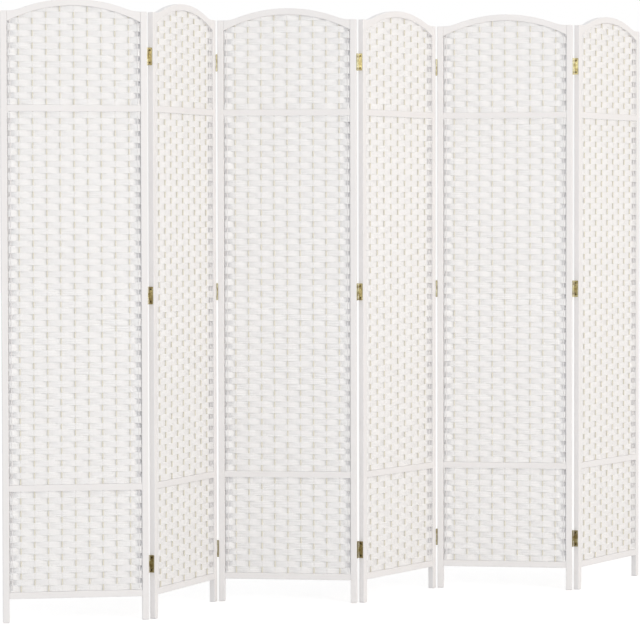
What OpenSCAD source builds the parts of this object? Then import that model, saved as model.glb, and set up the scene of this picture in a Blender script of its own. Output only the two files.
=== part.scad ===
// Folding screen: panels of woven cord in light painted wooden frames, joined edge to edge by butt hinges.
// Each panel has two stiles, an arched top rail, a bottom rail and two cross rails. Thin upright stakes run
// from the bottom rail through the cross rails into the top rail, and the cord is woven round them.
// A panel is drawn with x along it from its left edge, y from its front face to its back and z up from
// the floor. The folds then lay the panels out in a zigzag, with the whole row's ends lined up along X.

/* [Panel] */
// Width of one panel, over both stiles
panel_w = 400; // [320:5:480]
// Height of the stiles' tops above the floor
shoulder_h = 1667; // [1400:1:1900]
// Rise of the arched top rail above the stiles' tops
arch_rise = 33; // [15:1:45]
// Radius of the hollow curve at each end of the arch
cove_r = 105; // [60:5:140]

/* [Frame] */
// Width of a stile, along the panel
stile_w = 18; // [16:0.5:26]
// Thickness of the stiles, front to back
frame_t = 17; // [16:0.5:24]
// Radius on the long edges of the stiles
stile_round = 2; // [0.5:0.25:4]
// Depth of every rail, from its underside to its top
rail_h = 18; // [14:0.5:26]
// Step from a stile's face back to a rail's face
rail_step = 0.75; // [0.25:0.25:2]
// Radius on the long edges of the straight rails
rail_round = 1.5; // [0.5:0.25:3]
// Height of the bottom rail's underside above the floor
leg_h = 65; // [40:1:100]
// Height of the lower cross rail's middle above the floor
low_rail_z = 367; // [260:1:600]
// Drop from the stiles' tops to the upper cross rail's middle
high_rail_drop = 264; // [200:1:400]
// Length of the tenons that join the rails to the stiles
tenon_l = 10; // [6:0.5:13]
// Thickness of the tenons, front to back
tenon_t = 8; // [5:0.5:10]
// Height of the tenons
tenon_h = 11; // [8:0.5:12]
// Play round a tenon in its mortise
tenon_fit = 0.1; // [0.05:0.05:0.3]

/* [Weave] */
// Diameter of the upright stakes
stake_d = 5; // [3:0.25:6]
// Spacing of the upright stakes
stake_pitch = 37.5; // [30:0.5:45]
// Distance from a stile to the middle of the outermost stake
edge_stake = 8; // [6:0.5:14]
// Depth of the stakes' sockets in the top and bottom rails
socket_deep = 8; // [4:0.5:10]
// Play round a stake in its holes
stake_fit = 0.1; // [0.05:0.05:0.3]
// Play above a stake in its upper socket
stake_end_play = 0.5; // [0.2:0.1:1]
// Thickness of the woven cord, front to back
weave_t = 12; // [9:0.25:14]
// Gap between the turned edge of the weave and the stile
weave_side_gap = 2; // [0.5:0.25:3]
// Gap between the weave and the rails
weave_rail_gap = 0.3; // [0.2:0.1:1]

/* [Hinges] */
// Gap between the stiles of two panels that lie in line
hinge_gap = 4; // [4:0.25:8]
// Distance of a hinge pin's middle outside the face of the frame
pin_out = 1; // [0.75:0.25:4]
// Height of a hinge leaf
leaf_h = 48; // [42:1:70]
// Width of a hinge leaf, across the stile's edge
leaf_w = 14; // [8:0.5:15]
// Thickness of a hinge leaf
leaf_t = 1; // [0.8:0.1:1.6]
// Outer diameter of the knuckles
knuckle_d = 3.8; // [3.4:0.1:4]
// Gap between neighbouring knuckles along the pin, and round a knuckle at the other leaf
knuckle_gap = 0.3; // [0.2:0.05:0.5]
// Diameter of a hinge pin
pin_d = 2; // [1.5:0.1:2.4]
// Play round a pin in its knuckles
pin_fit = 0.05; // [0.02:0.01:0.1]
// Diameter of the riveted ends of a pin
pin_end_d = 3; // [2.6:0.1:3.4]
// Height of the riveted ends of a pin
pin_end_h = 0.8; // [0.5:0.1:1.5]
// Drop from the stiles' tops to the middle of the top hinge
top_hinge_drop = 121; // [80:1:160]
// Height of the middle hinge above the floor
mid_hinge_z = 891; // [700:1:1000]
// Height of the bottom hinge above the floor
low_hinge_z = 152; // [140:1:220]

/* [Screws] */
// Length of a hinge screw
screw_l = 12; // [8:0.5:14]
// Diameter of a screw's shank
screw_d = 2.4; // [1.8:0.1:3]
// Diameter of a screw's countersunk head
screw_head_d = 4.8; // [4:0.1:6]
// Length of a screw's point
screw_point = 3; // [1:0.5:5]
// Distance between the two screws of a leaf
screw_span = 34; // [24:1:36]
// Play round a screw
screw_fit = 0.05; // [0.02:0.01:0.1]
// Width of the arms of the cross recess in a screw's head
recess_w = 0.6; // [0.4:0.1:0.8]
// Length of the arms of the cross recess
recess_l = 2.8; // [2:0.1:3.2]
// Depth of the cross recess
recess_deep = 0.7; // [0.4:0.05:1.2]

/* [Folds] */
// Fold between panels 1 and 2, from lying in line
fold_1 = 57; // [30:1:100]
// Fold between panels 2 and 3
fold_2 = 74; // [30:1:100]
// Fold between panels 3 and 4
fold_3 = 64; // [30:1:100]
// Fold between panels 4 and 5
fold_4 = 66; // [30:1:100]
// Fold between panels 5 and 6
fold_5 = 67; // [30:1:100]

/* [Hidden] */
$fn = 64;
// How far a cut runs past a face, and how far two stretches of one piece reach into each other
cut = 1;
folds = [fold_1, fold_2, fold_3, fold_4, fold_5];
panels = [1 : len(folds) + 1];
last_panel = len(folds) + 1;

// The straight rails and the space between the stiles
rail_t = frame_t - 2 * rail_step;
half_in = panel_w / 2 - stile_w;
low_rail_under = low_rail_z - rail_h / 2;
high_rail_under = shoulder_h - high_rail_drop - rail_h / 2;

// The arch: a dome that runs at each end into a hollow curve, which meets the stile's top level
curve_sum = (half_in * half_in + arch_rise * arch_rise) / (2 * arch_rise);
dome_r = curve_sum - cove_r;
dome_z = shoulder_h + arch_rise - dome_r;
turn_x = half_in * dome_r / curve_sum;
turn_z = dome_z + (curve_sum - arch_rise) * dome_r / curve_sum;
arch_end_z = under_arch(half_in);
arch_tenon_z = (arch_end_z + shoulder_h) / 2;

// The stakes: one in the middle, the others spaced from it, and one beside each stile
edge_x = half_in - edge_stake;
stakes_each_side = floor((edge_x - 2 * stake_d) / stake_pitch);
stake_places = concat(
    [-edge_x],
    [for (i = [-stakes_each_side : stakes_each_side]) i * stake_pitch],
    [edge_x]
);
stake_foot_z = leg_h + rail_h - socket_deep;

hinge_places = [shoulder_h - top_hinge_drop, mid_hinge_z, low_hinge_z];
rail_tenons = [leg_h + rail_h / 2, low_rail_z, shoulder_h - high_rail_drop, arch_tenon_z];

// The layout: odd joints fold with the pin behind the frames, even ones with the pin in front
function pins_behind(joint) = joint % 2 == 1;
function along(a) = [cos(a), sin(a)];
function across(a) = [-sin(a), cos(a)];
function pin_y(joint) = pins_behind(joint) ? frame_t + pin_out : -pin_out;
function chain_heading(k) = k == 1 ? 0
    : chain_heading(k - 1) + (pins_behind(k - 1) ? 1 : -1) * folds[k - 2];
function chain_pin(joint) = chain_corner(joint)
    + (panel_w + hinge_gap / 2) * along(chain_heading(joint))
    + pin_y(joint) * across(chain_heading(joint));
function chain_corner(k) = k == 1 ? [0, 0]
    : chain_pin(k - 1) + hinge_gap / 2 * along(chain_heading(k)) - pin_y(k - 1) * across(chain_heading(k));
chain_end = chain_corner(last_panel) + panel_w * along(chain_heading(last_panel));
run_angle = atan2(chain_end.y, chain_end.x);
function turned(p) = [
    p.x * cos(run_angle) + p.y * sin(run_angle),
    p.y * cos(run_angle) - p.x * sin(run_angle)
];
function heading(k) = chain_heading(k) - run_angle;
frame_corners = [
    for (k = panels, x = [stile_round, panel_w - stile_round], y = [stile_round, frame_t - stile_round])
        turned(chain_corner(k)) + x * along(heading(k)) + y * across(heading(k))
];
corner_xs = [for (c = frame_corners) c.x];
corner_ys = [for (c = frame_corners) c.y];
middle = [(min(corner_xs) + max(corner_xs)) / 2, (min(corner_ys) + max(corner_ys)) / 2];
function corner(k) = turned(chain_corner(k)) - middle;
function pin(joint) = turned(chain_pin(joint)) - middle;

function under_arch(x) = dome_z + sqrt(pow(dome_r - rail_h, 2) - x * x);

panel_nodes = [
    "left_stile", "right_stile", "top_rail", "bottom_rail", "cross_rails", "stakes", "weave", "hinge_leaves",
    "hinge_screws"
];

echo(headings = [for (k = panels) heading(k)]);
echo(corners = [for (k = panels) corner(k)]);
echo(pins = [for (j = [1 : len(folds)]) pin(j)]);

module frame_paint() color("#eae8ea") children();
module cord_white() color("#f3f1ea") children();
module bamboo() color("#d8c08c") children();
module brass() color("#b99b45") children();
module screw_steel() color("#6f6a5c") children();

// Puts what is drawn in a panel's own frame where that panel stands
module at_panel(k) {
    translate([corner(k).x, corner(k).y, 0]) rotate([0, 0, heading(k)]) children();
}

// Turns what is drawn at the left end of a panel round to its right end
module at_end(right) {
    if (right) translate([panel_w, 0, 0]) mirror([1, 0, 0]) children();
    else children();
}

// A cylinder that lies front to back
module across_cylinder(r, y0, y1) {
    translate([0, y0, 0]) rotate([-90, 0, 0]) cylinder(r = r, h = y1 - y0);
}

module rounded_section(w, t, r) {
    translate([r, 0]) square([w - 2 * r, t]);
    translate([0, r]) square([w, t - 2 * r]);
    for (x = [r, w - r], y = [r, t - r]) translate([x, y]) circle(r);
}

// A tenon in the left stile, or with some fit its mortise; it reaches a little past the stile's inner face
module tenon(z, fit) {
    translate([stile_w - tenon_l - fit, (frame_t - tenon_t) / 2 - fit, z - tenon_h / 2 - fit])
        cube([tenon_l + fit + cut, tenon_t + 2 * fit, tenon_h + 2 * fit]);
}

module tenon_pair(z) {
    for (right = [false, true]) at_end(right) tenon(z, 0);
}

module stake_holes(z0, z1) {
    for (x = stake_places)
        translate([panel_w / 2 + x, frame_t / 2, z0]) cylinder(d = stake_d + 2 * stake_fit, h = z1 - z0);
}

// The middle of the screws across the edge of a stile
function screw_y(joint) = pins_behind(joint) ? frame_t - leaf_w / 2 : leaf_w / 2;

// Pilot holes in the edge of a stile that joins the next panel
module pilot_holes(joint) {
    for (z = hinge_places, side = [-1, 1])
        translate([-cut, screw_y(joint), z + side * screw_span / 2]) rotate([0, 90, 0])
            cylinder(d = screw_d + 2 * screw_fit, h = screw_l - leaf_t + 2 * cut);
}

// A stile drawn at the left end of the panel; joint is 0 at the two free ends of the screen
module stile(joint) {
    difference() {
        linear_extrude(shoulder_h) rounded_section(stile_w, frame_t, stile_round);
        for (z = rail_tenons) tenon(z, tenon_fit);
        if (joint > 0) pilot_holes(joint);
    }
}

module left_stile(k) frame_paint() at_panel(k) stile(k - 1);

module right_stile(k) frame_paint() at_panel(k) at_end(true) stile(k == last_panel ? 0 : k);

module straight_rail(z) {
    translate([stile_w, rail_step, z])
        rotate([90, 0, 90]) linear_extrude(2 * half_in) rounded_section(rail_t, rail_h, rail_round);
    tenon_pair(z + rail_h / 2);
}

module bottom_rail(k) {
    frame_paint() at_panel(k) difference() {
        straight_rail(leg_h);
        stake_holes(stake_foot_z, leg_h + rail_h + cut);
    }
}

module cross_rails(k) {
    for (z = [low_rail_under, high_rail_under])
        frame_paint() at_panel(k) difference() {
            straight_rail(z);
            stake_holes(z - cut, z + rail_h + cut);
        }
}

module arch_end() {
    difference() {
        translate([turn_x - cut, rail_step, arch_end_z])
            cube([half_in - turn_x + cut, rail_t, turn_z - arch_end_z]);
        translate([half_in, 0, shoulder_h + cove_r]) across_cylinder(cove_r, 0, frame_t);
    }
}

module arch() {
    difference() {
        union() {
            intersection() {
                translate([0, 0, dome_z]) across_cylinder(dome_r, rail_step, frame_t - rail_step);
                translate([-turn_x, 0, arch_end_z])
                    cube([2 * turn_x, frame_t, shoulder_h + arch_rise + cut - arch_end_z]);
            }
            arch_end();
            mirror([1, 0, 0]) arch_end();
        }
        translate([0, 0, dome_z]) across_cylinder(dome_r - rail_h, 0, frame_t);
    }
}

module top_rail(k) {
    frame_paint() at_panel(k) {
        difference() {
            union() {
                translate([panel_w / 2, 0, 0]) arch();
                tenon_pair(arch_tenon_z);
            }
            for (x = stake_places)
                translate([panel_w / 2 + x, frame_t / 2, arch_end_z - cut])
                    cylinder(d = stake_d + 2 * stake_fit, h = under_arch(x) + socket_deep - arch_end_z + cut);
        }
    }
}

module stakes(k) {
    for (x = stake_places)
        bamboo() at_panel(k) translate([panel_w / 2 + x, frame_t / 2, stake_foot_z])
            cylinder(d = stake_d, h = under_arch(x) + socket_deep - stake_end_play - stake_foot_z);
}

// One field of the weave, as a block as thick as the cords over the stakes
module field(z0, z1) {
    difference() {
        translate([stile_w + weave_side_gap, (frame_t - weave_t) / 2, z0])
            cube([2 * (half_in - weave_side_gap), weave_t, z1 - z0]);
        stake_holes(z0 - cut, z1 + cut);
    }
}

module weave(k) {
    cord_white() at_panel(k) {
        field(leg_h + rail_h + weave_rail_gap, low_rail_under - weave_rail_gap);
        field(low_rail_under + rail_h + weave_rail_gap, high_rail_under - weave_rail_gap);
        intersection() {
            field(high_rail_under + rail_h + weave_rail_gap, shoulder_h + arch_rise);
            translate([panel_w / 2, 0, dome_z]) across_cylinder(dome_r - rail_h - weave_rail_gap, 0, frame_t);
        }
    }
}

// Where the hinges of a joint stand, drawn from the pin: x points from the stile's edge over the gap
// and y out of the face that the pin lies in front of
module at_hinges(joint, on_right_panel) {
    at_end(!on_right_panel)
        translate([-hinge_gap / 2, pin_y(joint), 0]) mirror([1, 0, 0])
            mirror([0, pins_behind(joint) ? 0 : 1, 0])
                for (z = hinge_places) translate([0, 0, z]) children();
}

// A countersunk screw from the face of its leaf, pointing along -x into the stile; fit widens it for its hole
module screw_body(fit) {
    rotate([0, -90, 0]) {
        cylinder(d1 = screw_head_d + 2 * fit, d2 = screw_d + 2 * fit, h = leaf_t);
        cylinder(d = screw_d + 2 * fit, h = screw_l - screw_point);
    }
}

module screw() {
    difference() {
        union() {
            screw_body(0);
            translate([screw_point - screw_l, 0, 0]) rotate([0, -90, 0])
                cylinder(d1 = screw_d, d2 = screw_d / 4, h = screw_point);
        }
        for (turn = [0, 90])
            rotate([turn, 0, 0]) translate([-recess_deep, -recess_l / 2, -recess_w / 2])
                cube([recess_deep + cut, recess_l, recess_w]);
    }
}

module at_screws() {
    for (side = [-1, 1])
        translate([leaf_t - hinge_gap / 2, -pin_out - leaf_w / 2, side * screw_span / 2]) children();
}

// The middle third of the height belongs to the right leaf's knuckle, the outer thirds to the left leaf's
function knuckle_spans(on_right_panel) = on_right_panel
    ? [[knuckle_gap / 2 - leaf_h / 6, leaf_h / 6 - knuckle_gap / 2]]
    : [[-leaf_h / 2, -leaf_h / 6 - knuckle_gap / 2], [leaf_h / 6 + knuckle_gap / 2, leaf_h / 2]];

module leaf(on_right_panel) {
    plate_w = leaf_w + pin_out - knuckle_d / 2 - knuckle_gap;
    difference() {
        union() {
            translate([-hinge_gap / 2, -pin_out - leaf_w, -leaf_h / 2]) cube([leaf_t, plate_w, leaf_h]);
            for (span = knuckle_spans(on_right_panel)) {
                translate([-hinge_gap / 2, -pin_out - leaf_w, span[0]])
                    cube([leaf_t, leaf_w + pin_out, span[1] - span[0]]);
                translate([0, 0, span[0]]) cylinder(d = knuckle_d, h = span[1] - span[0]);
            }
        }
        translate([0, 0, -leaf_h / 2 - cut]) cylinder(d = pin_d + 2 * pin_fit, h = leaf_h + 2 * cut);
        at_screws() screw_body(screw_fit);
    }
}

module hinge_leaves(k) {
    brass() at_panel(k) {
        if (k > 1) at_hinges(k - 1, true) leaf(true);
        if (k < last_panel) at_hinges(k, false) leaf(false);
    }
}

module hinge_screws(k) {
    screw_steel() at_panel(k) {
        if (k > 1) at_hinges(k - 1, true) at_screws() screw();
        if (k < last_panel) at_hinges(k, false) at_screws() screw();
    }
}

module hinge_pins(joint) {
    brass() at_panel(joint) at_hinges(joint, false) {
        translate([0, 0, -leaf_h / 2]) cylinder(d = pin_d, h = leaf_h);
        translate([0, 0, leaf_h / 2]) cylinder(d = pin_end_d, h = pin_end_h);
        translate([0, 0, -leaf_h / 2 - pin_end_h]) cylinder(d = pin_end_d, h = pin_end_h);
    }
}

for (k = panels) {
    left_stile(k);
    right_stile(k);
    top_rail(k);
    bottom_rail(k);
    cross_rails(k);
    stakes(k);
    weave(k);
    hinge_leaves(k);
    hinge_screws(k);
}
for (j = [1 : len(folds)]) {
    hinge_pins(j);
}
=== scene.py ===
"""Looks of a folding screen: six arched panels of woven paper cord in white painted wooden frames.

Lengths are in millimetres unless a name or a docstring says otherwise. A panel is described in its own
frame: x along it from its middle, y from its middle plane towards its back and z up from the floor.
"""
import logging
import math
import random
from dataclasses import dataclass, field
from enum import Enum
from itertools import accumulate, pairwise
from typing import ClassVar

import bmesh
import bpy
from mathutils import Matrix, Vector


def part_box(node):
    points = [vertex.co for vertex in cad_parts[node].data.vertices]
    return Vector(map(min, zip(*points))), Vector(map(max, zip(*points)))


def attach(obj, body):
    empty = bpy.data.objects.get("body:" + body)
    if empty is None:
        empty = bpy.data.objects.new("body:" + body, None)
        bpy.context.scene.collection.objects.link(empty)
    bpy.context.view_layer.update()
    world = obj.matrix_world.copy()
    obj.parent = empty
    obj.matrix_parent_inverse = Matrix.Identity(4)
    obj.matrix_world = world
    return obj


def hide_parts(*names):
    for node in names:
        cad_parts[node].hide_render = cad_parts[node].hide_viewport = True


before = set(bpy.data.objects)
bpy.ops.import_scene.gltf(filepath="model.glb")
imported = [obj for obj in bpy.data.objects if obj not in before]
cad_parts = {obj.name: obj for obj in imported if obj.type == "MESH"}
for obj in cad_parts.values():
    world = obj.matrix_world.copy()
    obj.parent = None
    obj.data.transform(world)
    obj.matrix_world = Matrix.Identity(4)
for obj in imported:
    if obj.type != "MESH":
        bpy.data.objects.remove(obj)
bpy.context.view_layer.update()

MM = 0.001
PANELS = range(1, 1 + sum(name.startswith("left_stile_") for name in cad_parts))
SEED = 1867

log = logging.getLogger("folding_screen")


class Edge(Enum):
    """The two edges of a panel, with the way out of the panel there along x."""

    LEFT = -1
    RIGHT = 1


class Way(Enum):
    """The way that a piece's length runs, with the kind of curve twist that suits it."""

    LEVEL = "Z_UP"
    UPRIGHT = "MINIMUM"


def linear(hex_colour: str) -> tuple[float, float, float, float]:
    """Turns an sRGB colour into the linear one that shaders take.

    Args:
        hex_colour: The colour as "#RRGGBB".

    Returns:
        Linear red, green, blue and an alpha of 1.
    """
    shares = [int(hex_colour[i:i + 2], 16) / 255 for i in (1, 3, 5)]
    red, green, blue = (s / 12.92 if s <= 0.04045 else ((s + 0.055) / 1.055) ** 2.4 for s in shares)
    return red, green, blue, 1.0


WHITE = linear("#FFFFFF")


def add_node(
    tree: bpy.types.NodeTree, kind: str, inputs: dict[str | int, object] | None = None, **settings: object
) -> bpy.types.Node:
    """Adds a shader node with its settings and links.

    Args:
        tree: The node tree that gets the node.
        kind: The node's type name.
        inputs: For an input's name or number, the value it gets or the output that feeds it.
        **settings: The node's own properties.

    Returns:
        The new node.
    """
    node = tree.nodes.new(kind)
    for name, value in settings.items():
        setattr(node, name, value)
    for key, value in (inputs or {}).items():
        if isinstance(value, bpy.types.NodeSocket):
            tree.links.new(value, node.inputs[key])
        else:
            node.inputs[key].default_value = value
    return node


def new_material(name: str) -> bpy.types.Material:
    """Makes a material with no nodes in it yet.

    Args:
        name: The material's name.

    Returns:
        The material.
    """
    material = bpy.data.materials.new(name)
    material.use_nodes = True
    material.node_tree.nodes.clear()
    return material


def add_surface(tree: bpy.types.NodeTree, inputs: dict[str, object]) -> None:
    """Ends a material's nodes with its shader.

    Args:
        tree: The material's node tree.
        inputs: The values and patterns that the Principled shader gets.
    """
    shader = add_node(tree, "ShaderNodeBsdfPrincipled", inputs)
    add_node(tree, "ShaderNodeOutputMaterial", {"Surface": shader.outputs["BSDF"]})


def two_tones(
    tree: bpy.types.NodeTree, share: bpy.types.NodeSocket, low: str, high: str
) -> bpy.types.NodeSocket:
    """Blends two colours by a pattern.

    Args:
        tree: The node tree.
        share: The pattern's output, from 0 to 1.
        low: sRGB colour where the pattern is 0.
        high: sRGB colour where the pattern is 1.

    Returns:
        The blended colour's output.
    """
    # The Mix node has sockets of the same names for each kind of value: these are the colours' numbers
    share_in, low_in, high_in, blend_out = 0, 6, 7, 2
    inputs = {share_in: share, low_in: linear(low), high_in: linear(high)}
    return add_node(tree, "ShaderNodeMix", inputs, data_type="RGBA").outputs[blend_out]


def shown_rays(tree: bpy.types.NodeTree) -> bpy.types.NodeSocket:
    """Tells the rays that show a surface from those that light one.

    Args:
        tree: The node tree that asks.

    Returns:
        An output that is 1 for rays from the camera, a mirror or a glass, and 0 for others.
    """
    path = add_node(tree, "ShaderNodeLightPath").outputs
    straight = add_node(tree, "ShaderNodeMath", {
        0: path["Is Camera Ray"], 1: path["Is Glossy Ray"]}, operation="MAXIMUM")
    through = add_node(tree, "ShaderNodeMath", {
        0: straight.outputs["Value"], 1: path["Is Transmission Ray"]}, operation="MAXIMUM")
    return through.outputs["Value"]


@dataclass(frozen=True)
class PaintedWood:
    """White satin lacquer sprayed on softwood: pale and smooth, with the grain just telegraphing through.

    Attributes:
        name: The material's name.
        grain: The way that the grain runs.
        heading: For level grain, the angle in radians from the row's X to the way along the panel.
        light: sRGB colour of the lighter places.
        dull: sRGB colour of the duller places.
        roughness: Roughness of the duller places.
        matting: How much rougher the lighter places are.
        cloud: Width of such a place.
        grain_width: Distance between the lines of the grain.
        grain_length: Their length.
        relief: Depth of the grain under the paint.
        bump: Strength of that relief.
    """

    name: str
    grain: Way
    heading: float = 0.0
    light: str = "#EFEEEF"
    dull: str = "#E9E8E9"
    roughness: float = 0.31
    matting: float = 0.12
    cloud: float = 140.0
    grain_width: float = 1.6
    grain_length: float = 60.0
    relief: float = 0.05
    bump: float = 0.35

    def make(self) -> bpy.types.Material:
        """Builds the paint's material.

        Returns:
            The material.
        """
        material = new_material(self.name)
        tree = material.node_tree
        place = add_node(tree, "ShaderNodeTexCoord").outputs["Object"]
        across, along = 1 / (self.grain_width * MM), 1 / (self.grain_length * MM)
        scale = (across, across, along) if self.grain is Way.UPRIGHT else (along, across, across)
        turned = add_node(tree, "ShaderNodeMapping", {
            "Vector": place, "Rotation": (0, 0, -self.heading)})
        stretched = add_node(tree, "ShaderNodeMapping", {
            "Vector": turned.outputs["Vector"], "Scale": scale})
        lines = add_node(tree, "ShaderNodeTexNoise", {
            "Vector": stretched.outputs["Vector"], "Scale": 1.0, "Detail": 3.0})
        clouds = add_node(tree, "ShaderNodeTexNoise", {
            "Vector": place, "Scale": 1 / (self.cloud * MM), "Detail": 2.0})
        gloss = add_node(tree, "ShaderNodeMapRange", {
            "Value": clouds.outputs["Fac"],
            "To Min": self.roughness, "To Max": self.roughness + self.matting})
        grain = add_node(tree, "ShaderNodeBump", {
            "Height": lines.outputs["Fac"], "Strength": self.bump, "Distance": self.relief * MM})
        add_surface(tree, {
            "Base Color": two_tones(tree, clouds.outputs["Fac"], self.dull, self.light),
            "Roughness": gloss.outputs["Result"],
            "Normal": grain.outputs["Normal"],
        })
        return material


@dataclass(frozen=True)
class PaperCord:
    """Cord twisted from white kraft paper: matt, faintly fibrous, with fine crests from the twist.

    The UV map's U is metres along the cord and V is turns round it.

    Attributes:
        name: The material's name.
        light: sRGB colour of the lighter places.
        dull: sRGB colour of the duller places.
        cloud: Width of such a place.
        roughness: Roughness of the paper.
        crest_gap: Distance along the cord from one crest of the twist to the next.
        unevenness: How much the crests wander.
        relief: Height of the crests.
        bump: Strength of that relief.
    """

    name: str = "white_twisted_paper_cord"
    light: str = "#FBFBFC"
    dull: str = "#F4F4F5"
    cloud: float = 26.0
    roughness: float = 0.72
    crest_gap: float = 4.0
    unevenness: float = 0.6
    relief: float = 0.2
    bump: float = 0.7

    # A wave texture whose bands lie on the diagonal runs through this many radians in one unit
    WAVE_RADIANS: ClassVar[float] = 10.0

    def make(self) -> bpy.types.Material:
        """Builds the cord's material.

        Returns:
            The material.
        """
        material = new_material(self.name)
        tree = material.node_tree
        coordinates = add_node(tree, "ShaderNodeTexCoord")
        clouds = add_node(tree, "ShaderNodeTexNoise", {
            "Vector": coordinates.outputs["Object"], "Scale": 1 / (self.cloud * MM), "Detail": 3.0})
        # These scales give one crest a turn round the cord, and one every crest_gap along it
        crest = 2 * math.pi / self.WAVE_RADIANS
        lay = add_node(tree, "ShaderNodeMapping", {
            "Vector": coordinates.outputs["UV"], "Scale": (crest / (self.crest_gap * MM), crest, 0)})
        crests = add_node(tree, "ShaderNodeTexWave", {
            "Vector": lay.outputs["Vector"], "Scale": 1.0, "Distortion": self.unevenness, "Detail": 1.0,
        }, bands_direction="DIAGONAL")
        twist = add_node(tree, "ShaderNodeBump", {
            "Height": crests.outputs["Fac"], "Strength": self.bump, "Distance": self.relief * MM})
        add_surface(tree, {
            "Base Color": two_tones(tree, clouds.outputs["Fac"], self.dull, self.light),
            "Roughness": self.roughness,
            "Normal": twist.outputs["Normal"],
        })
        return material


@dataclass(frozen=True)
class Bamboo:
    """Split and rounded bamboo: straw coloured, with fine fibres along it and a dull sheen.

    Attributes:
        name: The material's name.
        light: sRGB colour of the fibres.
        dark: sRGB colour between them.
        fibre_width: Distance between the fibres.
        fibre_length: Their length.
        roughness: Roughness of the bamboo.
        relief: Height of the fibres.
        bump: Strength of that relief.
    """

    name: str = "rounded_bamboo"
    light: str = "#EEECE2"
    dark: str = "#D9D5C3"
    fibre_width: float = 0.7
    fibre_length: float = 35.0
    roughness: float = 0.5
    relief: float = 0.1
    bump: float = 0.4

    def make(self) -> bpy.types.Material:
        """Builds the bamboo's material.

        Returns:
            The material.
        """
        material = new_material(self.name)
        tree = material.node_tree
        place = add_node(tree, "ShaderNodeTexCoord").outputs["Object"]
        across, along = 1 / (self.fibre_width * MM), 1 / (self.fibre_length * MM)
        stretched = add_node(tree, "ShaderNodeMapping", {
            "Vector": place, "Scale": (across, across, along)})
        fibres = add_node(tree, "ShaderNodeTexNoise", {
            "Vector": stretched.outputs["Vector"], "Scale": 1.0, "Detail": 2.0})
        ribs = add_node(tree, "ShaderNodeBump", {
            "Height": fibres.outputs["Fac"], "Strength": self.bump, "Distance": self.relief * MM})
        add_surface(tree, {
            "Base Color": two_tones(tree, fibres.outputs["Fac"], self.dark, self.light),
            "Roughness": self.roughness,
            "Normal": ribs.outputs["Normal"],
        })
        return material


@dataclass(frozen=True)
class PlatedMetal:
    """Stamped and plated steel: a soft mirror with patchy tarnish, and painted shade towards the floor.

    Attributes:
        name: The material's name.
        bright: sRGB colour of the clean metal.
        tarnished_and_shaded: sRGB colour of tarnish, and of the painted shade near the floor.
        roughness: Roughness of the clean metal.
        dulling: Roughness that a full share of tarnish and painted shade adds.
        patch: Width of a patch.
        patch_edges: The values of the noise between which a patch fades.
        patch_tarnish_and_glint: The tarnish and painted glint that the patches take away and add at most.
        floor_painted_shade: The painted shade at the floor, standing in for the darker reflections there.
        floor_shade_top: The height above which the floor adds no painted shade.
    """

    name: str
    bright: str
    tarnished_and_shaded: str
    roughness: float
    dulling: float = 0.14
    patch: float = 9.0
    patch_edges: tuple[float, float] = (0.3, 0.7)
    patch_tarnish_and_glint: tuple[float, float] = (-0.5, 0.75)
    floor_painted_shade: float = 0.8
    floor_shade_top: float = 1700.0

    def make(self) -> bpy.types.Material:
        """Builds the metal's material.

        Returns:
            The material.
        """
        material = new_material(self.name)
        tree = material.node_tree
        place = add_node(tree, "ShaderNodeTexCoord").outputs["Object"]
        # Patches of tarnish, made strong enough to also paint in highlights and dark reflections
        patches = add_node(tree, "ShaderNodeTexNoise", {
            "Vector": place, "Scale": 1 / (self.patch * MM), "Detail": 3.0})
        patchy_tarnish_and_glint = add_node(tree, "ShaderNodeMapRange", {
            "Value": patches.outputs["Fac"],
            "From Min": self.patch_edges[0], "From Max": self.patch_edges[1],
            "To Min": self.patch_tarnish_and_glint[0], "To Max": self.patch_tarnish_and_glint[1]})
        # Painted shade: the metal gets darker towards the floor, standing in for the darker reflections it
        # shows there
        height = add_node(tree, "ShaderNodeSeparateXYZ", {"Vector": place}).outputs["Z"]
        low = add_node(tree, "ShaderNodeMapRange", {
            "Value": height, "From Max": self.floor_shade_top * MM,
            "To Min": self.floor_painted_shade, "To Max": 0.0})
        # Share of the dark colour: the patches' tarnish and painted glint, plus the painted shade near the
        # floor
        share = add_node(tree, "ShaderNodeMath", {
            0: low.outputs["Result"], 1: patchy_tarnish_and_glint.outputs["Result"],
        }, operation="ADD", use_clamp=True).outputs["Value"]
        dulled = add_node(tree, "ShaderNodeMapRange", {
            "Value": share, "To Min": self.roughness, "To Max": self.roughness + self.dulling})
        add_surface(tree, {
            "Base Color": two_tones(tree, share, self.bright, self.tarnished_and_shaded),
            "Metallic": 1.0,
            "Roughness": dulled.outputs["Result"],
        })
        return material


@dataclass(frozen=True)
class FloorPaper:
    """Matt white background paper: it looks white to the camera and keeps the object's soft shadow.

    Attributes:
        name: The material's name.
        colour: sRGB colour of the paper.
        roughness: Roughness of the paper.
        lift: Strength of the white that it adds where it shows.
    """

    name: str = "matt_white_paper_floor"
    colour: str = "#E6E6E6"
    roughness: float = 0.9
    lift: float = 0.4

    def make(self) -> bpy.types.Material:
        """Builds the paper's material.

        Returns:
            The material.
        """
        material = new_material(self.name)
        tree = material.node_tree
        lift = add_node(tree, "ShaderNodeMapRange", {
            "Value": shown_rays(tree), "To Min": 0.0, "To Max": self.lift})
        add_surface(tree, {
            "Base Color": linear(self.colour),
            "Roughness": self.roughness,
            "Emission Color": WHITE,
            "Emission Strength": lift.outputs["Result"],
        })
        return material


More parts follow.
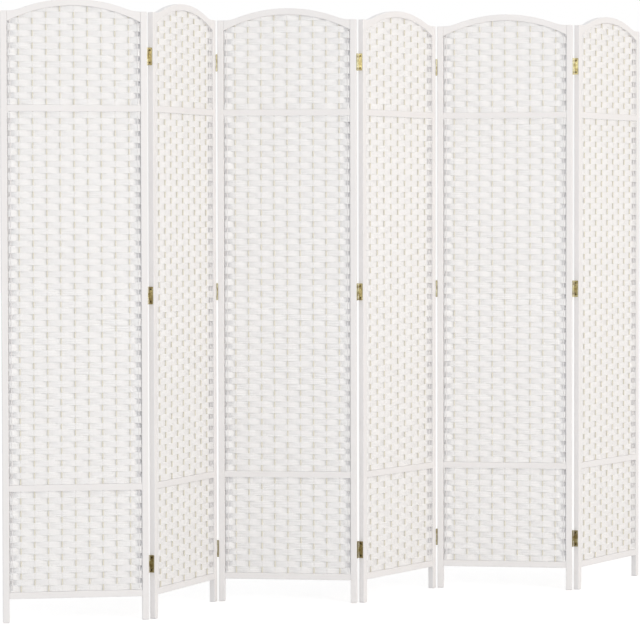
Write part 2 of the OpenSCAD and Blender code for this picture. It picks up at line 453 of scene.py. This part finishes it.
@dataclass
class Panel:
    """One panel of the screen: where it stands and its main sizes.

    Attributes:
        number: The panel's number, from the left.
        width: Width over its stiles.
        stile_top: Height of its stiles.
        arch_rise: How far its arch rises above them.
        cove_radius: Radius of the hollow curve at each end of the arch.
        stile_width: Width of a stile, seen from the front.
        thickness: Thickness of the frame.
        rail_depth: Height of a rail, seen from the front.
        rail_step: How far the arched rail's faces lie inside those of the stiles.
        place: Turns a point of the panel, in millimetres, into one of the scene, in metres.
    """

    number: int
    width: float = 400.0
    stile_top: float = 1667.0
    arch_rise: float = 33.0
    cove_radius: float = 105.0
    stile_width: float = 18.0
    thickness: float = 17.0
    rail_depth: float = 18.0
    rail_step: float = 0.75
    place: Matrix = field(init=False)

    def __post_init__(self) -> None:
        """Finds the panel's place from its two stiles."""
        boxes = (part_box(f"{edge.name.lower()}_stile_{self.number}") for edge in Edge)
        left, right = (sum(box, Vector()) / 2 for box in boxes)
        along = (right - left).normalized()
        across = Vector((-along.y, along.x, 0))
        turn = Matrix((along, across, Vector((0, 0, 1)))).transposed().to_4x4()
        middle = (left + right) / 2
        self.place = Matrix.Translation((middle.x, middle.y, 0)) @ turn @ Matrix.Scale(MM, 4)

    @property
    def heading(self) -> float:
        """Angle in radians from the row's X to the way along the panel."""
        return math.atan2(self.place[1][0], self.place[0][0])

    @property
    def half_opening(self) -> float:
        """Half the distance between the stiles."""
        return self.width / 2 - self.stile_width

    @property
    def curve_sum(self) -> float:
        """Radius of the dome and radius of the hollow curve together."""
        return (self.half_opening ** 2 + self.arch_rise ** 2) / (2 * self.arch_rise)

    @property
    def dome_radius(self) -> float:
        """Radius of the arched rail's upper face over most of its length."""
        return self.curve_sum - self.cove_radius

    @property
    def dome_z(self) -> float:
        """Height of the middle of the arch's circles."""
        return self.stile_top + self.arch_rise - self.dome_radius

    @property
    def bottom_rail_top(self) -> float:
        """Height of the bottom rail's upper face."""
        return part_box(f"bottom_rail_{self.number}")[1].z / MM

    def under_arch(self, x: float) -> float:
        """Height of the arched rail's underside at x."""
        return self.dome_z + math.sqrt((self.dome_radius - self.rail_depth) ** 2 - x * x)

    def reach(self, z: float) -> float:
        """How far from the panel's middle the space under the arch extends at height z."""
        squared = (self.dome_radius - self.rail_depth) ** 2 - (z - self.dome_z) ** 2
        return math.sqrt(max(squared, 0.0))

    def add(
        self, name: str, mesh: bpy.types.Mesh, material: bpy.types.Material, slot: str, *nodes: str
    ) -> bpy.types.Object:
        """Puts a finished mesh in the scene as a piece of this panel.

        Args:
            name: The piece's name, without the panel's number.
            mesh: The mesh in the panel's own frame; it is moved to its place here.
            material: The piece's finish.
            slot: Name of a material slot; not used.
            *nodes: The nodes that the piece stands for, without the panel's number.

        Returns:
            The piece.
        """
        mesh.transform(self.place)
        mesh.materials.clear()
        mesh.materials.append(material)
        piece = bpy.data.objects.new(f"{name}_{self.number}", mesh)
        bpy.context.scene.collection.objects.link(piece)
        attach(piece, f"panel_{self.number}")
        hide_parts(*(f"{node}_{self.number}" for node in nodes))
        log.info("%s: %d faces", piece.name, len(mesh.polygons))
        return piece

    def dress(self, material: bpy.types.Material, *nodes: str) -> None:
        """Gives some of the panel's own nodes a finish.

        Args:
            material: The finish.
            *nodes: The nodes' names, without the panel's number.
        """
        for name in nodes:
            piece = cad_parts[f"{name}_{self.number}"]
            piece.data.materials.clear()
            piece.data.materials.append(material)
            log.info("%s: %s", piece.name, material.name)


@dataclass
class Line:
    """The middle line of a round cord or rod, with its radius at each point."""

    points: list[Vector]
    radii: list[float]

    def reaches(self) -> list[float]:
        """Length of the line up to each of its points."""
        return list(accumulate(((b - a).length for a, b in pairwise(self.points)), initial=0.0))

    def length(self) -> float:
        """Length of the line."""
        return self.reaches()[-1]


def measure_along(mesh: bpy.types.Mesh, lines: list[Line], sides: int) -> None:
    """Turns the U of a swept mesh, which is a share of each line's points, into metres along the line.

    Args:
        mesh: The mesh: its vertices are those of all the flat ends, then the rings of each line in turn.
        lines: The lines, in millimetres.
        sides: Vertices in a ring.
    """
    along = [0.0] * (2 * sides * len(lines))
    along += [reach * MM for line in lines for reach in line.reaches() for _ in range(sides)]
    corners = [0] * len(mesh.loops)
    mesh.loops.foreach_get("vertex_index", corners)
    places = [0.0] * (2 * len(corners))
    uv = mesh.uv_layers[0].uv
    uv.foreach_get("vector", places)
    places[0::2] = [along[corner] for corner in corners]
    uv.foreach_set("vector", places)


def round_mesh(name: str, lines: list[Line], sides: int, way: Way) -> bpy.types.Mesh:
    """Sweeps a round section along lines.

    Args:
        name: Name of the mesh.
        lines: The lines, in millimetres.
        sides: Sides of the section, an even number from 4 up.
        way: The way that the lines run.

    Returns:
        The mesh, whose UV map gives metres along each line and turns round it.
    """
    curve = bpy.data.curves.new(name, "CURVE")
    curve.dimensions = "3D"
    curve.twist_mode = way.value
    curve.bevel_depth = 1.0
    curve.bevel_resolution = (sides - 4) // 2
    curve.use_fill_caps = True
    for line in lines:
        spline = curve.splines.new("POLY")
        spline.points.add(len(line.points) - 1)
        spline.points.foreach_set("co", [c for p in line.points for c in (*p, 1.0)])
        spline.points.foreach_set("radius", line.radii)
    holder = bpy.data.objects.new(name, curve)
    mesh = bpy.data.meshes.new_from_object(holder)
    bpy.data.objects.remove(holder)
    bpy.data.curves.remove(curve)
    measure_along(mesh, lines, sides)
    return mesh


def smooth_step(share: float) -> float:
    """Eases a share from 0 to 1 in and out."""
    share = min(max(share, 0.0), 1.0)
    return share * share * (3 - 2 * share)


@dataclass
class Wander:
    """Small irregularities of a hand-woven row, given at even places along it.

    Attributes:
        half_width: Distance of the first and the last place from the panel's middle.
        heights: How far above its even place the row lies at each place.
        swings: The row's swing at each place, as a share of the even one.
    """

    half_width: float
    heights: list[float]
    swings: list[float]

    # The largest share let through, which keeps the cords between the faces of the frame
    WIDEST: ClassVar[float] = 1.12

    def joined(self, other: "Wander") -> "Wander":
        """Puts other irregularities on top of these.

        Args:
            other: The other irregularities, at the same places.

        Returns:
            Both together.
        """
        heights = [a + b for a, b in zip(self.heights, other.heights)]
        swings = [a * b for a, b in zip(self.swings, other.swings)]
        return Wander(self.half_width, heights, swings)

    def between(self, values: list[float], x: float) -> float:
        """Eases from place to place.

        Args:
            values: The value at each place.
            x: Where along the panel the value is wanted.

        Returns:
            The value at x.
        """
        at = (x + self.half_width) / (2 * self.half_width) * (len(values) - 1)
        first = min(max(int(at), 0), len(values) - 2)
        share = smooth_step(at - first)
        return values[first] * (1 - share) + values[first + 1] * share

    def height(self, x: float) -> float:
        """How far above its even place the row lies at x."""
        return self.between(self.heights, x)

    def swing(self, x: float) -> float:
        """The row's swing at x, as a share of the even one."""
        return min(self.between(self.swings, x), self.WIDEST)


@dataclass(frozen=True)
class Field:
    """One field of the weave, between two rails."""

    name: str
    bottom: float
    top: float
    rows: int

    @property
    def pitch(self) -> float:
        """Height of one row."""
        return (self.top - self.bottom) / self.rows


@dataclass
class Weave:
    """A panel's woven cord: each row is a band of cords that turns round an edge stake into the next row.

    Attributes:
        panel: The panel that it fills.
        cords: Cords in a band.
        cord_radius: Radius of a cord.
        cord_sides: Sides of a cord's section.
        stake_radius: Radius of a stake.
        stake_pitch: Distance from one spaced stake to the next.
        stakes_each_side: Spaced stakes on each side of the middle one.
        edge_stake: Distance of the middle of an edge stake from its stile.
        rows_bottom: Rows of the bottom field.
        rows_middle: Rows of the middle field.
        rows_top: Rows of the top field.
        rail_gap: Gap between the weave and the rail under it, or the arch over it.
        slack_gap: Gap between the weave and the cross rail over it.
        squeeze: How far the cords press into the stakes.
        steps: Steps of a cord's line from one spaced stake to the next.
        edge_steps: Its steps from the last spaced stake to the edge stake.
        turn_gap: Gap between the outermost turns and the stile.
        turn_layer: How much less far out every other cord of a band turns.
        turn_corner: How far a turn's corners are cut off.
        spread: Share by which a band is taller at a stake than between two.
        edge_fan: Share by which it is taller at the edge stake.
        edge_swing: Share by which it swings wider there.
        tuck_rise: How far above the end of its row a cord's end is tucked away.
        sway: Standard deviation of the height of a row.
        cord_sway: Standard deviation of the height of a cord in its row.
        depth_sway: Standard deviation of the share by which a row or cord swings wider.
    """

    panel: Panel
    cords: int = 6
    cord_radius: float = 1.47
    cord_sides: int = 6
    stake_radius: float = 1.9
    stake_pitch: float = 37.5
    stakes_each_side: int = 4
    edge_stake: float = 8.0
    rows_bottom: int = 16
    rows_middle: int = 61
    rows_top: int = 16
    rail_gap: float = 0.3
    slack_gap: float = 0.9
    squeeze: float = 0.1
    steps: int = 3
    edge_steps: int = 4
    turn_gap: float = 0.1
    turn_layer: float = 0.7
    turn_corner: float = 1.1
    spread: float = 0.04
    edge_fan: float = 0.15
    edge_swing: float = 0.75
    tuck_rise: float = 0.1
    sway: float = 0.25
    cord_sway: float = 0.1
    depth_sway: float = 0.05

    @property
    def last_stake(self) -> float:
        """Distance of the outermost spaced stake from the panel's middle."""
        return self.stakes_each_side * self.stake_pitch

    @property
    def rod_x(self) -> float:
        """Distance of the edge stakes from the panel's middle."""
        return self.panel.half_opening - self.edge_stake

    @property
    def edge_gap(self) -> float:
        """Distance from the outermost spaced stake to the edge stake."""
        return self.rod_x - self.last_stake

    @property
    def swing(self) -> float:
        """How far the cords' middle lines pass in front of and behind the stakes' middles."""
        return self.stake_radius + self.cord_radius - self.squeeze

    def fields(self) -> list[Field]:
        """Divides the panel between its rails.

        Returns:
            The three fields, from the bottom.
        """
        panel, gap, slack = self.panel, self.rail_gap, self.slack_gap
        depth = panel.rail_depth
        rails_low, rails_high = (corner.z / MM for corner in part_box(f"cross_rails_{panel.number}"))
        return [
            Field("weave_bottom", panel.bottom_rail_top + gap, rails_low - slack, self.rows_bottom),
            Field("weave_middle", rails_low + depth + gap, rails_high - depth - slack, self.rows_middle),
            Field("weave_top", rails_high + gap, panel.under_arch(0) - gap, self.rows_top),
        ]

    def depth(self, row: int, x: float) -> float:
        """How far behind the stakes a row's middle line lies.

        Args:
            row: The row's number in its field, from the bottom.
            x: The place along the panel.

        Returns:
            A share from -1, in front of a stake, to 1, behind it.
        """
        beyond = abs(x) - self.last_stake
        turns = (x + self.last_stake) / self.stake_pitch if beyond <= 0 else beyond / self.edge_gap
        return (-1) ** row * math.cos(math.pi * turns)

    def stations(self) -> list[float]:
        """Places the points of a row.

        Returns:
            The x of each point, from the left edge stake to the right one.
        """
        last, count = self.last_stake, 2 * self.stakes_each_side * self.steps
        middle = [last * (2 * i / count - 1) for i in range(count + 1)]
        right = [last + self.edge_gap * i / self.edge_steps for i in range(1, self.edge_steps + 1)]
        return [-x for x in reversed(right)] + middle + right

    def row_points(self, row: int, offset: float, z: float, wander: Wander) -> list[Vector]:
        """Points of one cord along one row, from left to right.

        Args:
            row: The row's number in its field, from the bottom.
            offset: The cord's height above the middle of the row.
            z: The height of the middle of the row.
            wander: The cord's small irregularities in this row.

        Returns:
            The points.
        """
        points = []
        for x in self.stations():
            depth = self.depth(row, x)
            fan = smooth_step((abs(x) - self.last_stake) / self.edge_gap)
            height = z + offset * (1 + self.spread * abs(depth) + self.edge_fan * fan) + wander.height(x)
            swing = self.swing * (1 + self.edge_swing * fan) * wander.swing(x)
            points.append(Vector((x, swing * depth, height)))
        return points

    def turn(self, edge: Edge, start: Vector, end: Vector, out: float) -> list[Vector]:
        """Points of a cord that runs on to the stile, back along it and up to the next row.

        Args:
            edge: The panel's edge.
            start: The last point before the turn, level with the edge stake.
            end: The first point after it, on the other side of the stake.
            out: How far outside the stake's middle the turn reaches.

        Returns:
            The points between them.
        """
        points = []
        for point in (start, end):
            side = math.copysign(self.turn_corner, point.y)
            near = Vector((edge.value * (self.rod_x + out - self.turn_corner), point.y, point.z))
            far = Vector((edge.value * (self.rod_x + out), point.y - side, point.z))
            points += [near, far] if point is start else [far, near]
        return points

    def tucked(self, point: Vector) -> Vector:
        """The end of a cord, tucked away nearly level with a point, on the other side of the stake."""
        return Vector((point.x, -point.y, point.z + self.tuck_rise))

    def cord_lines(self, area: Field, index: int, wanders: list[Wander]) -> list[Line]:
        """The lines of one cord of the band through a field.

        Args:
            area: The field.
            index: The cord's place in the band, from the bottom.
            wanders: The irregularities of each row for this cord.

        Returns:
            One long line for the rows that turn at both edges, and one for each row that ends at the arch.
        """
        offset = (index - (self.cords - 1) / 2) * area.pitch / self.cords
        heights = [area.bottom + (row + 0.5) * area.pitch for row in range(area.rows)]
        shoulder = self.panel.under_arch(self.panel.half_opening)
        full_rows = sum(z + offset + self.cord_radius <= shoulder for z in heights)
        out = self.edge_stake - self.cord_radius - self.turn_gap - self.turn_layer * (index % 2)
        lowest, highest = area.bottom + self.cord_radius, area.top - self.cord_radius
        path: list[Vector] = []
        lines: list[Line] = []
        for row, z in enumerate(heights):
            points = self.row_points(row, offset, z, wanders[row])
            if row < full_rows:
                onward = points if row % 2 == 0 else points[::-1]
                edge = Edge.LEFT if row % 2 == 0 else Edge.RIGHT
                path = path or [self.tucked(onward[0])]
                path += [*self.turn(edge, path[-1], onward[0], out), *onward]
            else:
                lines += self.under_the_arch(points, z + offset)
        edge = Edge.RIGHT if full_rows % 2 else Edge.LEFT
        path += self.turn(edge, path[-1], self.tucked(path[-1]), out)
        for point in path:
            point.z = min(max(point.z, lowest), highest)
        return [Line(path, [self.cord_radius] * len(path)), *lines]

    def under_the_arch(self, points: list[Vector], z: float) -> list[Line]:
        """Cuts a row where it runs into the arched rail, with its ends just inside the wood.

        Args:
            points: The row's points, from left to right.
            z: The cord's height.

        Returns:
            The line that is left, or none.
        """
        if z + self.cord_radius > self.panel.under_arch(0):
            return []
        end = min(self.panel.reach(z - self.cord_radius), self.panel.half_opening - self.turn_gap)
        kept = [p for p in points if abs(p.x) < end]
        if len(kept) < 2:
            return []
        first, last = (Vector((math.copysign(end, p.x), p.y, p.z)) for p in (kept[0], kept[-1]))
        return [Line([first, *kept, last], [self.cord_radius] * (len(kept) + 2))]

    def drawn(self, rng: random.Random, sway: float) -> Wander:
        """Draws the irregularities of one row, at as many places as there are stakes.

        Args:
            rng: The seeded source of chance.
            sway: Standard deviation of the row's height.

        Returns:
            The irregularities.
        """
        count = 2 * self.stakes_each_side + 1 + len(Edge)
        heights = [rng.gauss(0, sway) for _ in range(count)]
        swings = [rng.gauss(1, self.depth_sway) for _ in range(count)]
        return Wander(self.rod_x, heights, swings)

    def build(self, material: bpy.types.Material) -> None:
        """Weaves the panel's three fields as a piece each.

        Args:
            material: The cord's finish.
        """
        for area in self.fields():
            rng = random.Random(f"{SEED} {area.name} {self.panel.number}")
            rows = [self.drawn(rng, self.sway) for _ in range(area.rows)]
            lines: list[Line] = []
            for index in range(self.cords):
                own = [row.joined(self.drawn(rng, self.cord_sway)) for row in rows]
                lines += self.cord_lines(area, index, own)
            mesh = round_mesh(area.name, lines, self.cord_sides, Way.LEVEL)
            self.panel.add(area.name, mesh, material, "paper_cord", "weave")
            log.info("  %.1f m of cord", sum(line.length() for line in lines) * MM)


@dataclass
class Stakes:
    """The upright bamboo stakes of a panel and the painted rods beside its stiles.

    Attributes:
        weave: The weave that they carry.
        sides: Sides of a stake's section.
        socket: Depth of the holes for a stake's ends, in the bottom rail and in the arch.
        end_play: How far a stake stays short of the top of its hole in the arch.
        step: Length of a step of a stake's line, about.
        joint_gap: Distance between two joints of the bamboo.
        joint_width: Half the width of the ring at a joint.
        joint_rise: Share by which a stake is thicker there.
        bow: How far a stake bows at most.
    """

    weave: Weave
    sides: int = 10
    socket: float = 8.0
    end_play: float = 0.5
    step: float = 12.0
    joint_gap: float = 230.0
    joint_width: float = 5.0
    joint_rise: float = 0.09
    bow: float = 0.5

    def line(self, x: float, rng: random.Random) -> Line:
        """One stake, very slightly bowed, with the rings of its joints.

        Args:
            x: The stake's place along the panel.
            rng: The seeded source of chance.

        Returns:
            The stake's middle line.
        """
        panel = self.weave.panel
        low = panel.bottom_rail_top - self.socket
        high = panel.under_arch(x) + self.socket - self.end_play
        first_joint = rng.uniform(0, self.joint_gap)
        bow = rng.uniform(-self.bow, self.bow)
        count = round((high - low) / self.step)
        points, radii = [], []
        for i in range(count + 1):
            up = (high - low) * i / count
            from_joint = (up - first_joint + self.joint_gap / 2) % self.joint_gap - self.joint_gap / 2
            ring = math.exp(-(from_joint / self.joint_width) ** 2)
            points.append(Vector((x + bow * math.sin(math.pi * i / count), 0, low + up)))
            radii.append(self.weave.stake_radius * (1 + self.joint_rise * ring))
        return Line(points, radii)

    def build(self, bamboo: bpy.types.Material, paint: bpy.types.Material) -> None:
        """Makes the spaced stakes as one piece and the two edge rods as another.

        Args:
            bamboo: The stakes' finish.
            paint: The edge rods' finish.
        """
        weave, panel = self.weave, self.weave.panel
        rng = random.Random(f"{SEED} stakes {panel.number}")
        count = weave.stakes_each_side
        spaced = [i * weave.stake_pitch for i in range(-count, count + 1)]
        outer = [edge.value * weave.rod_x for edge in Edge]
        for name, places, material in (("bamboo_stakes", spaced, bamboo), ("edge_rods", outer, paint)):
            mesh = round_mesh(name, [self.line(x, rng) for x in places], self.sides, Way.UPRIGHT)
            panel.add(name, mesh, material, "bamboo", "stakes")


def steps(start: float, end: float, count: int) -> list[float]:
    """Even steps from start to end, both included."""
    return [start + (end - start) * i / count for i in range(count + 1)]


def arc(x: float, z: float, radius: float, angles: list[float]) -> list[tuple[float, float]]:
    """Points of an arc seen from the front.

    Args:
        x: Where its middle is along the panel.
        z: The height of its middle.
        radius: Its radius, below 0 for an arc under its middle.
        angles: The points' angles, in radians from straight above its middle.

    Returns:
        The x and z of each point.
    """
    return [(x + radius * math.sin(a), z + radius * math.cos(a)) for a in angles]


def ease_edges(
    shape: bmesh.types.BMesh, edges: list[bmesh.types.BMEdge], radius: float, segments: int
) -> None:
    """Rounds edges of a shape to a radius."""
    bmesh.ops.bevel(
        shape, geom=edges, offset=radius, segments=segments, profile=0.5, affect="EDGES", material=-1)


def softened(shape: bmesh.types.BMesh, name: str, sharp_angle: float = 50.0) -> bpy.types.Mesh:
    """Turns a shape with eased edges into a mesh that shades smoothly over them.

    Args:
        shape: The shape, which is used up.
        name: Name of the mesh.
        sharp_angle: Angle in degrees above which an edge stays sharp.

    Returns:
        The mesh.
    """
    bmesh.ops.recalc_face_normals(shape, faces=shape.faces)
    for face in shape.faces:
        face.smooth = True
    mesh = bpy.data.meshes.new(name)
    shape.to_mesh(mesh)
    shape.free()
    mesh.set_sharp_from_angle(angle=math.radians(sharp_angle))
    return mesh


def weigh_normals(piece: bpy.types.Object) -> None:
    """Lets the wide faces of a painted piece rule how its eased edges shade."""
    piece.modifiers.new("weighed", "WEIGHTED_NORMAL").keep_sharp = True


@dataclass
class ArchedRail:
    """The arched top rail: a dome that runs into a hollow curve at each end, with eased edges.

    Attributes:
        panel: The panel that it tops.
        dome_steps: Steps of the dome's outline.
        cove_steps: Steps of a hollow curve's outline.
        edge_round: Radius of its eased edges.
        edge_segments: Segments across an eased edge.
    """

    panel: Panel
    dome_steps: int = 40
    cove_steps: int = 10
    edge_round: float = 1.4
    edge_segments: int = 3

    def outline(self) -> list[tuple[float, float]]:
        """Draws the rail seen from the front.

        Returns:
            The x and z of its corners, going round it.
        """
        panel = self.panel
        half, radius, middle = panel.half_opening, panel.dome_radius, panel.dome_z
        turn = math.asin(half / panel.curve_sum)
        dome = arc(0, middle, radius, steps(-turn, turn, self.dome_steps))
        cove_z = panel.stile_top + panel.cove_radius
        right = arc(half, cove_z, -panel.cove_radius, steps(turn, 0, self.cove_steps))
        left = [(-x, z) for x, z in reversed(right)]
        inner = radius - panel.rail_depth
        end = math.asin(half / inner)
        under = arc(0, middle, inner, steps(end, -end, self.dome_steps))
        return left[:-1] + dome + right[1:] + under

    def build(self, material: bpy.types.Material) -> None:
        """Makes the rail from its outline.

        Args:
            material: The paint.
        """
        panel = self.panel
        face_y = panel.thickness / 2 - panel.rail_step
        shape = bmesh.new()
        front = shape.faces.new([shape.verts.new((x, -face_y, z)) for x, z in self.outline()])
        made = bmesh.ops.extrude_face_region(shape, geom=[front])["geom"]
        back = [v for v in made if isinstance(v, bmesh.types.BMVert)]
        bmesh.ops.translate(shape, verts=back, vec=(0, 2 * face_y, 0))
        # The edges round its two faces, not those through its thickness
        rims = [e for e in shape.edges if abs(e.verts[0].co.y - e.verts[1].co.y) < face_y]
        ease_edges(shape, rims, self.edge_round, self.edge_segments)
        mesh = softened(shape, "arched_rail")
        weigh_normals(panel.add("arched_rail", mesh, material, "frame_paint", "top_rail"))


@dataclass
class Stile:
    """An upright of the frame: a square bar with eased edges, worn a little rounder at its foot.

    Attributes:
        panel: The panel that it belongs to.
        edge: The edge of the panel where it stands.
        edge_round: Radius of its upright edges.
        edge_segments: Segments across one of them.
        foot_round: Radius of the edges round its foot.
        top_round: Radius of the edges round its top.
        end_segments: Segments across one of these.
    """

    panel: Panel
    edge: Edge
    edge_round: float = 2.0
    edge_segments: int = 4
    foot_round: float = 2.2
    top_round: float = 1.0
    end_segments: int = 3

    # A corner no further than this from an end's height lies at that end
    NEAR: ClassVar[float] = 0.01

    def build(self, material: bpy.types.Material) -> None:
        """Makes the stile from a block.

        Args:
            material: The paint.
        """
        panel = self.panel
        middle = self.edge.value * (panel.width - panel.stile_width) / 2
        shape = bmesh.new()
        bmesh.ops.create_cube(shape, size=1.0)
        size = (panel.stile_width, panel.thickness, panel.stile_top)
        bmesh.ops.scale(shape, verts=shape.verts, vec=size)
        bmesh.ops.translate(shape, verts=shape.verts, vec=(middle, 0, panel.stile_top / 2))
        upright = [e for e in shape.edges if abs(e.verts[0].co.z - e.verts[1].co.z) > panel.stile_top / 2]
        ease_edges(shape, upright, self.edge_round, self.edge_segments)
        for height, easing in ((0.0, self.foot_round), (panel.stile_top, self.top_round)):
            rim = [e for e in shape.edges if all(abs(v.co.z - height) < self.NEAR for v in e.verts)]
            ease_edges(shape, rim, easing, self.end_segments)
        name = f"{self.edge.name.lower()}_stile"
        mesh = softened(shape, name)
        weigh_normals(panel.add(f"painted_{name}", mesh, material, "frame_paint", name))


@dataclass(frozen=True)
class Lamp:
    """A large square lamp: its name, its place, the length of its side, its watts and its sRGB colour."""

    name: str
    at: tuple[float, float, float]
    size: float
    watts: float
    tint: str


@dataclass
class Studio:
    """A white studio: a pale floor, even light from all round, three large lamps in front and the camera.

    Attributes:
        camera_at: Where the camera stands.
        camera_heading: Degrees that it looks to the right of the row's Y.
        camera_dip: Degrees that it looks down.
        camera_roll: Degrees that it leans to its left.
        focal_px: Its focal length in pixels of the photograph.
        frame_px: The photograph's width in pixels.
        sensor: Width of its sensor.
        view_depth: How far it sees.
        floor_size: Length of the floor's side.
        floor_drop: How far under the feet the floor lies.
        sky: Strength of the light from all round.
        lamps: The lamps.
        lamp_aim: Height on the screen that they point at.
    """

    camera_at: tuple[float, float, float] = (-4206.3, -7406.8, 1125.6)
    camera_heading: float = 29.11
    camera_dip: float = 2.0
    camera_roll: float = -0.11
    focal_px: float = 2957.9
    frame_px: float = 640.0
    sensor: float = 36.0
    view_depth: float = 200000.0
    floor_size: float = 60000.0
    floor_drop: float = 0.3
    sky: float = 0.79
    lamps: tuple[Lamp, ...] = (
        Lamp("left_lamp", (-3900, -8400, 2400), 4500, 60, "#FFFCF8"),
        Lamp("middle_lamp", (1200, -6720, 2820), 4300, 102, "#FFFCF8"),
        Lamp("right_lamp", (3900, -6900, 2100), 3600, 40, "#FFC878"),
    )
    lamp_aim: float = 900.0

    def add_camera(self) -> None:
        """Stands the camera where the photograph was taken from."""
        data = bpy.data.cameras.new("camera")
        data.lens = self.focal_px / self.frame_px * self.sensor
        data.sensor_width = self.sensor
        data.clip_end = self.view_depth * MM
        camera = bpy.data.objects.new("camera", data)
        camera.location = Vector(self.camera_at) * MM
        turns = ((-self.camera_heading, "Z"), (90 - self.camera_dip, "X"), (self.camera_roll, "Z"))
        heading, dip, roll = (Matrix.Rotation(math.radians(angle), 3, axis) for angle, axis in turns)
        camera.rotation_euler = (heading @ dip @ roll).to_euler()
        bpy.context.scene.collection.objects.link(camera)
        bpy.context.scene.camera = camera

    def add_world(self) -> None:
        """Lights the object evenly, and shows white to the camera and in reflections."""
        world = bpy.data.worlds.new("studio")
        world.use_nodes = True
        tree = world.node_tree
        tree.nodes.clear()
        strength = add_node(tree, "ShaderNodeMapRange", {
            "Value": shown_rays(tree), "To Min": self.sky, "To Max": 1.0})
        background = add_node(tree, "ShaderNodeBackground", {
            "Color": WHITE, "Strength": strength.outputs["Result"]})
        add_node(tree, "ShaderNodeOutputWorld", {"Surface": background.outputs["Background"]})
        bpy.context.scene.world = world

    def add_floor(self) -> None:
        """Lays the floor."""
        shape = bmesh.new()
        bmesh.ops.create_grid(shape, x_segments=1, y_segments=1, size=self.floor_size / 2 * MM)
        bmesh.ops.translate(shape, verts=shape.verts, vec=(0, 0, -self.floor_drop * MM))
        mesh = bpy.data.meshes.new("floor")
        shape.to_mesh(mesh)
        shape.free()
        mesh.materials.append(FloorPaper().make())
        floor = bpy.data.objects.new("floor", mesh)
        bpy.context.scene.collection.objects.link(floor)

    def add_lamp(self, lamp: Lamp) -> None:
        """Hangs a lamp that faces the middle of the screen.

        Args:
            lamp: The lamp.
        """
        data = bpy.data.lights.new(lamp.name, "AREA")
        data.size = lamp.size * MM
        data.energy = lamp.watts
        data.color = linear(lamp.tint)[:3]
        light = bpy.data.objects.new(lamp.name, data)
        light.location = Vector(lamp.at) * MM
        aim = Vector((0, 0, self.lamp_aim * MM)) - light.location
        light.rotation_euler = aim.to_track_quat("-Z", "Y").to_euler()
        bpy.context.scene.collection.objects.link(light)

    def build(self) -> None:
        """Sets up the studio."""
        self.add_camera()
        self.add_world()
        self.add_floor()
        for lamp in self.lamps:
            self.add_lamp(lamp)
        bpy.context.scene.view_settings.view_transform = "Standard"


def main() -> None:
    """Sets up the studio, then builds and dresses the panels one by one."""
    logging.basicConfig(level=logging.INFO, format="%(message)s")
    Studio().build()
    paint = PaintedWood("white_lacquer_upright", Way.UPRIGHT).make()
    cord = PaperCord().make()
    bamboo = Bamboo().make()
    brass = PlatedMetal("brass_plate", bright="#C8C6AC", tarnished_and_shaded="#938763", roughness=0.2).make()
    steel = PlatedMetal(
        "dark_steel_screw", bright="#7C745A", tarnished_and_shaded="#4E493B", roughness=0.3, patch=3.0).make()
    for number in PANELS:
        panel = Panel(number)
        level_paint = PaintedWood(f"white_lacquer_level_{number}", Way.LEVEL, panel.heading).make()
        weave = Weave(panel)
        weave.build(cord)
        Stakes(weave).build(bamboo, paint)
        ArchedRail(panel).build(level_paint)
        for edge in Edge:
            Stile(panel, edge).build(paint)
        panel.dress(level_paint, "bottom_rail", "cross_rails")
        panel.dress(brass, "hinge_leaves")
        panel.dress(steel, "hinge_screws")
        if number < PANELS[-1]:
            panel.dress(brass, "hinge_pins")


if __name__ == "__main__":
    main()
